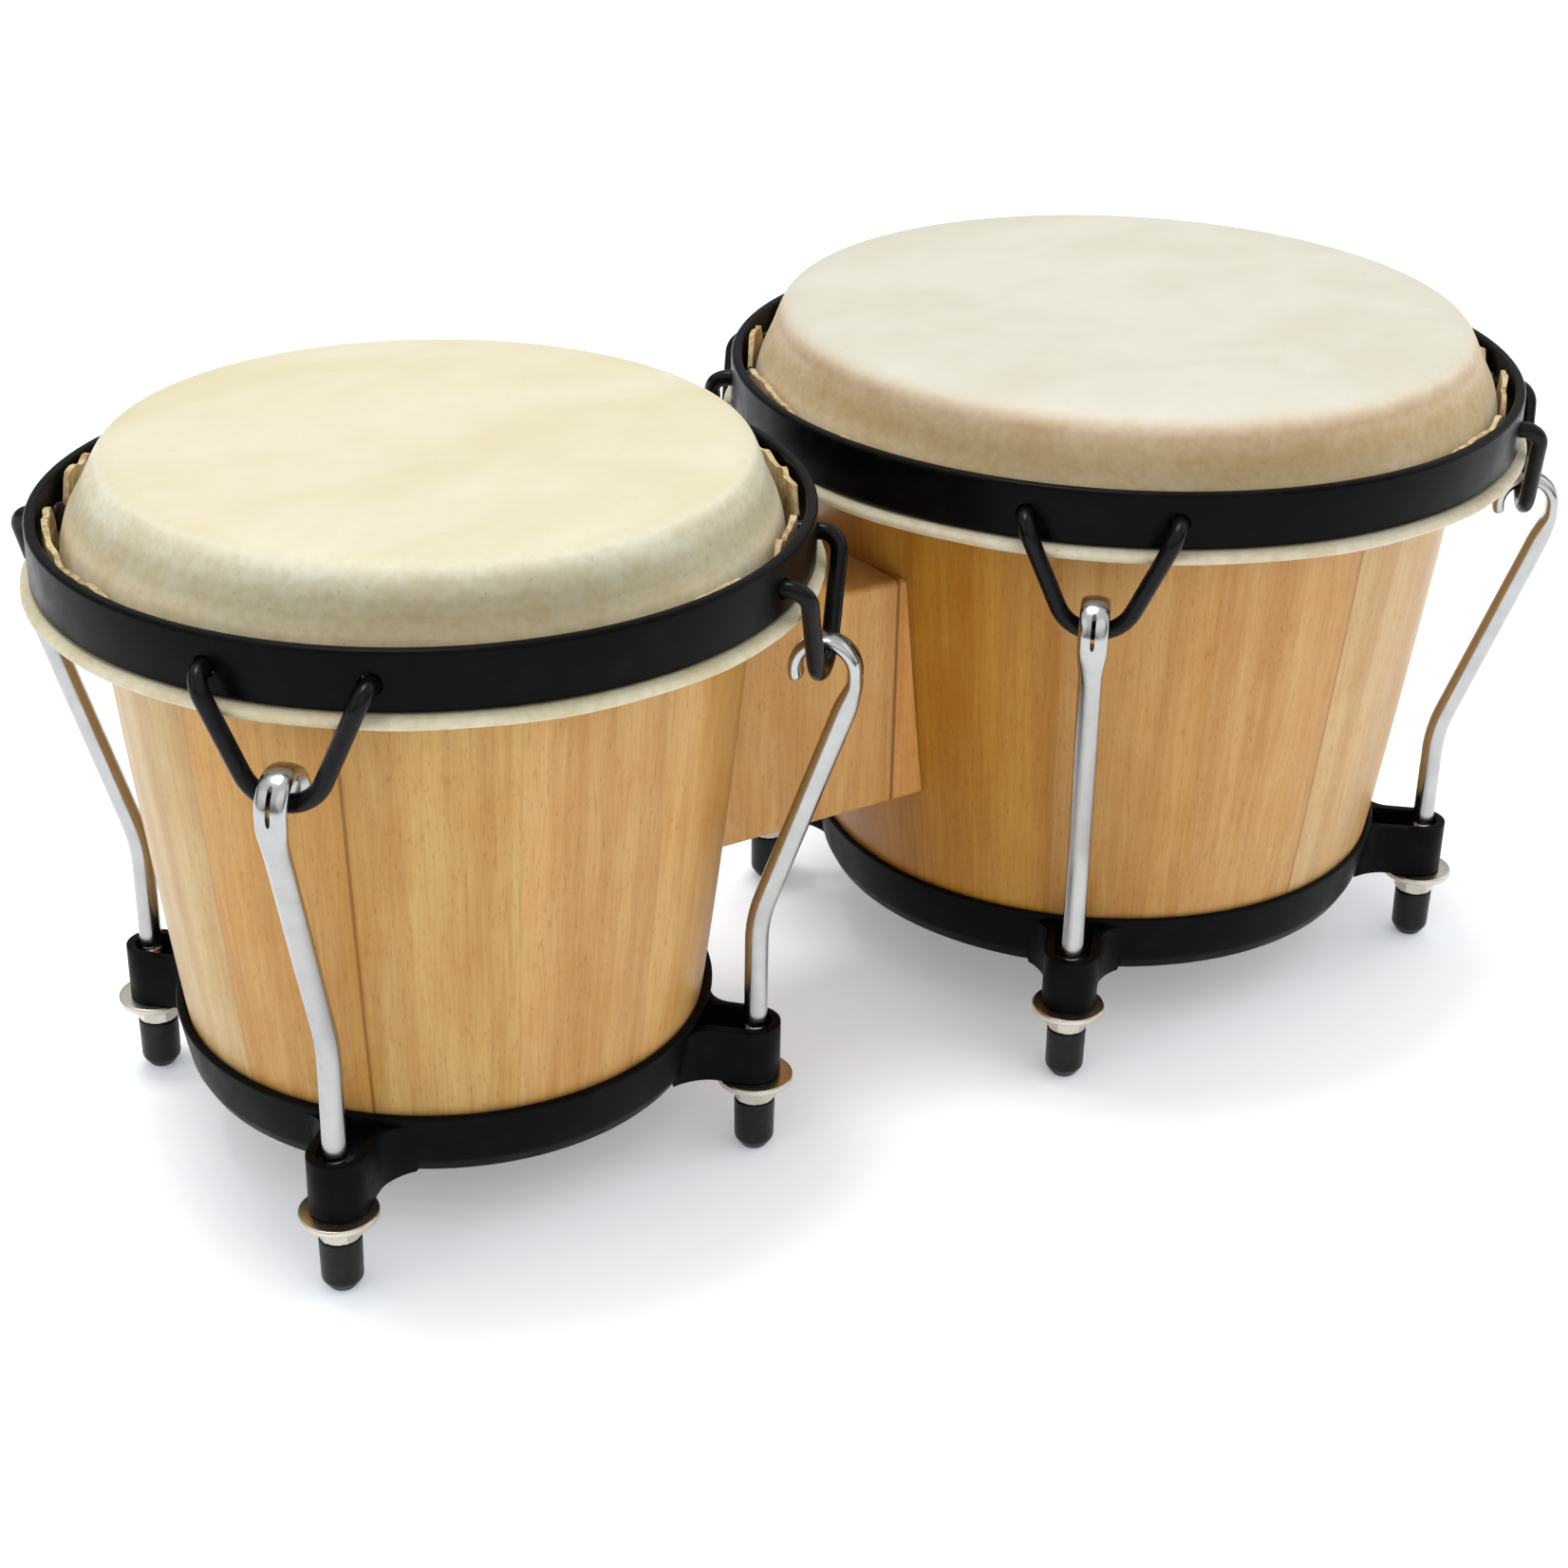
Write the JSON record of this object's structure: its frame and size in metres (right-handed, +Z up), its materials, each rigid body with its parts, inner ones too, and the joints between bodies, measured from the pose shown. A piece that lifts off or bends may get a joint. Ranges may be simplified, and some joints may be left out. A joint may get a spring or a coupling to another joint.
{
  "type": "bongo drums",
  "caption": "Pair of tapered wooden hand drums, one larger, joined by a wooden block, with rawhide heads pulled down by hooked rods whose rubber-capped ends are the feet.",
  "frame": {"origin": "on the floor under the middle of the overall box, midway between the outer edges of the two drums", "axes": "+X from the small drum to the large drum, +Z up, +Y across the pair"},
  "size_m": [0.4226, 0.223, 0.1892],
  "materials": {
    "drum_wood": "clear satin lacquer over straight-grained staves",
    "block_wood": "clear satin lacquer",
    "rawhide": "dry untreated rawhide",
    "black_steel": "black powder coat",
    "chrome": "bright plated",
    "bare_steel": "zinc plated",
    "black_rubber": "moulded, slightly glossy"
  },
  "bodies": {
    "root": {"small_shell": "drum_wood", "small_head": "rawhide", "small_bottom_ring": "black_steel", "small_backing_plate": "bare_steel", "small_block_bolt_1": "bare_steel", "small_block_bolt_2": "bare_steel", "small_washer_1": "bare_steel", "small_washer_2": "bare_steel", "small_washer_3": "bare_steel", "small_washer_4": "bare_steel", "large_shell": "drum_wood", "large_head": "rawhide", "large_bottom_ring": "black_steel", "large_backing_plate": "bare_steel", "large_block_bolt_1": "bare_steel", "large_block_bolt_2": "bare_steel", "large_washer_1": "bare_steel", "large_washer_2": "bare_steel", "large_washer_3": "bare_steel", "large_washer_4": "bare_steel", "centre_block": "block_wood"},
    "small_tension": {"small_rim": "black_steel", "small_tucked_skin": "rawhide", "small_flesh_hoop": "bare_steel", "small_v_hook_1": "black_steel", "small_v_hook_2": "black_steel", "small_v_hook_3": "black_steel", "small_v_hook_4": "black_steel", "small_tension_rod_1": "chrome", "small_tension_rod_2": "chrome", "small_tension_rod_3": "chrome", "small_tension_rod_4": "chrome", "small_foot_cap_1": "black_rubber", "small_foot_cap_2": "black_rubber", "small_foot_cap_3": "black_rubber", "small_foot_cap_4": "black_rubber"},
    "small_nut_1": {"small_nut_1": "bare_steel"},
    "small_nut_2": {"small_nut_2": "bare_steel"},
    "small_nut_3": {"small_nut_3": "bare_steel"},
    "small_nut_4": {"small_nut_4": "bare_steel"},
    "large_tension": {"large_rim": "black_steel", "large_tucked_skin": "rawhide", "large_flesh_hoop": "bare_steel", "large_v_hook_1": "black_steel", "large_v_hook_2": "black_steel", "large_v_hook_3": "black_steel", "large_v_hook_4": "black_steel", "large_tension_rod_1": "chrome", "large_tension_rod_2": "chrome", "large_tension_rod_3": "chrome", "large_tension_rod_4": "chrome", "large_foot_cap_1": "black_rubber", "large_foot_cap_2": "black_rubber", "large_foot_cap_3": "black_rubber", "large_foot_cap_4": "black_rubber"},
    "large_nut_1": {"large_nut_1": "bare_steel"},
    "large_nut_2": {"large_nut_2": "bare_steel"},
    "large_nut_3": {"large_nut_3": "bare_steel"},
    "large_nut_4": {"large_nut_4": "bare_steel"}
  },
  "joints": [
    {"name": "small_tension_slide", "type": "slide", "parent": "root", "child": "small_tension", "axis": [0, 0, 1], "range_m": [-0.004, 0]},
    {"name": "small_nut_1_turn", "type": "hinge", "parent": "root", "child": "small_nut_1", "pos_m": [-0.05601, 0.05869, 0.0175], "axis": [0, 0, 1], "range_deg": [0, 1440]},
    {"name": "small_nut_2_turn", "type": "hinge", "parent": "root", "child": "small_nut_2", "pos_m": [-0.17339, 0.05869, 0.0175], "axis": [0, 0, 1], "range_deg": [0, 1440]},
    {"name": "small_nut_3_turn", "type": "hinge", "parent": "root", "child": "small_nut_3", "pos_m": [-0.17339, -0.05869, 0.0175], "axis": [0, 0, 1], "range_deg": [0, 1440]},
    {"name": "small_nut_4_turn", "type": "hinge", "parent": "root", "child": "small_nut_4", "pos_m": [-0.05601, -0.05869, 0.0175], "axis": [0, 0, 1], "range_deg": [0, 1440]},
    {"name": "large_tension_slide", "type": "slide", "parent": "root", "child": "large_tension", "axis": [0, 0, 1], "range_m": [-0.004, 0]},
    {"name": "large_nut_1_turn", "type": "hinge", "parent": "root", "child": "large_nut_1", "pos_m": [0.16433, 0.07335, 0.0175], "axis": [0, 0, 1], "range_deg": [0, 1440]},
    {"name": "large_nut_2_turn", "type": "hinge", "parent": "root", "child": "large_nut_2", "pos_m": [0.02645, 0.06453, 0.0175], "axis": [0, 0, 1], "range_deg": [0, 1440]},
    {"name": "large_nut_3_turn", "type": "hinge", "parent": "root", "child": "large_nut_3", "pos_m": [0.03527, -0.07335, 0.0175], "axis": [0, 0, 1], "range_deg": [0, 1440]},
    {"name": "large_nut_4_turn", "type": "hinge", "parent": "root", "child": "large_nut_4", "pos_m": [0.17315, -0.06453, 0.0175], "axis": [0, 0, 1], "range_deg": [0, 1440]}
  ],
  "couplings": [
    {"joint": "small_nut_1_turn", "follows": "small_tension_slide", "rad_per_m": -6283},
    {"joint": "small_nut_2_turn", "follows": "small_tension_slide", "rad_per_m": -6283},
    {"joint": "small_nut_3_turn", "follows": "small_tension_slide", "rad_per_m": -6283},
    {"joint": "small_nut_4_turn", "follows": "small_tension_slide", "rad_per_m": -6283},
    {"joint": "large_nut_1_turn", "follows": "large_tension_slide", "rad_per_m": -6283},
    {"joint": "large_nut_2_turn", "follows": "large_tension_slide", "rad_per_m": -6283},
    {"joint": "large_nut_3_turn", "follows": "large_tension_slide", "rad_per_m": -6283},
    {"joint": "large_nut_4_turn", "follows": "large_tension_slide", "rad_per_m": -6283}
  ]
}
